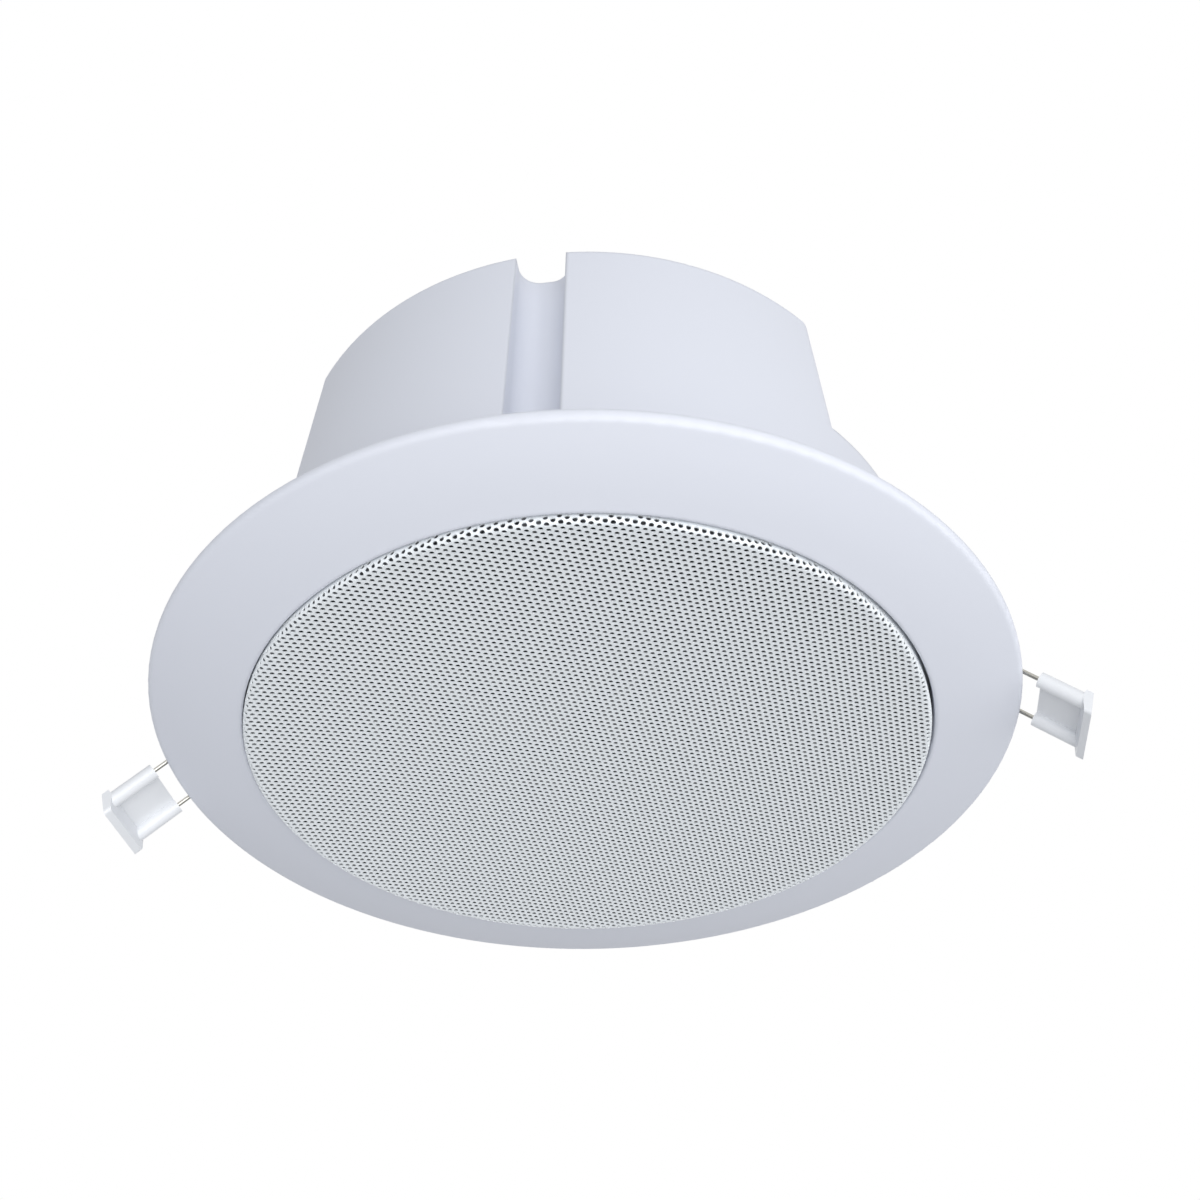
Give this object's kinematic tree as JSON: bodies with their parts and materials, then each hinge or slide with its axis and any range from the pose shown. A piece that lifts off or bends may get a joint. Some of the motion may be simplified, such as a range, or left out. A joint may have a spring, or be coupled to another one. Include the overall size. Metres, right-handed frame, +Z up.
{
  "type": "in ceiling speaker",
  "caption": "Round in-ceiling loudspeaker: sloped flange with a dished perforated grille, closed back can with flats and screw channels, and sprung fold-up fixing clips.",
  "frame": {"origin": "on the speaker's axis, in the plane of the flange's back face, which lies on the ceiling", "axes": "+Z up into the ceiling void, so the grille faces -Z; X runs through the two clips; -Y is the side with the screw channel nearest the camera"},
  "size_m": [0.2612, 0.23, 0.1123],
  "materials": {
    "white_moulding": "satin moulded, cool white",
    "grille_paint": "white powder coat on perforated steel",
    "acoustic_cloth": "black woven acoustic cloth",
    "zinc_steel": "bright zinc plate",
    "spring_steel": "drawn bright wire",
    "clip_plastic": "glossy moulded white",
    "foam": "closed-cell black foam",
    "frame_paint": "black paint on pressed steel",
    "surround_rubber": "matt black rubber",
    "cone_pulp": "pressed, matt charcoal",
    "copper_winding": "enamelled copper wire",
    "spider_cloth": "resin-stiffened cloth",
    "ferrite": "ground ferrite",
    "tag_board": "phenolic board",
    "tinned_brass": "tin plated",
    "copper_braid": "woven copper braid",
    "terminal_plastic": "moulded off-white",
    "red_lead": "extruded red insulation",
    "black_lead": "extruded black insulation"
  },
  "bodies": {
    "housing": {"bezel": "white_moulding", "grille": "grille_paint", "grille_cloth": "acoustic_cloth", "back_can": "white_moulding", "can_screws": "zinc_steel", "left_clip_pin": "zinc_steel", "right_clip_pin": "zinc_steel", "driver_gasket": "foam", "driver_frame": "frame_paint", "driver_screws": "zinc_steel", "surround": "surround_rubber", "spider": "spider_cloth", "front_plate": "zinc_steel", "magnet": "ferrite", "yoke": "zinc_steel", "tag_board": "tag_board", "tags": "tinned_brass", "tinsel_leads": "copper_braid", "terminal_block": "terminal_plastic", "terminal_screws": "zinc_steel", "terminal_pins": "tinned_brass", "positive_lead": "red_lead", "negative_lead": "black_lead"},
    "left_clip": {"left_clip_spring": "spring_steel", "left_clip_cap": "clip_plastic"},
    "right_clip": {"right_clip_spring": "spring_steel", "right_clip_cap": "clip_plastic"},
    "diaphragm": {"cone": "cone_pulp", "dust_cap": "cone_pulp", "voice_coil": "copper_winding"}
  },
  "joints": [
    {"name": "left_clip_fold", "type": "hinge", "parent": "housing", "child": "left_clip", "pos_m": [-0.0993, 0, 0.01], "axis": [0, 1, 0], "range_deg": [0, 130], "stiffness_Nm_per_rad": 0.4, "springref_deg": -20.05},
    {"name": "right_clip_fold", "type": "hinge", "parent": "housing", "child": "right_clip", "pos_m": [0.0993, 0, 0.01], "axis": [0, -1, 0], "range_deg": [0, 130], "stiffness_Nm_per_rad": 0.4, "springref_deg": -20.05},
    {"name": "cone_travel", "type": "slide", "parent": "housing", "child": "diaphragm", "axis": [0, 0, 1], "range_m": [-0.002, 0.002], "stiffness_N_per_m": 1000, "deforming": ["surround", "spider", "tinsel_leads"]}
  ]
}
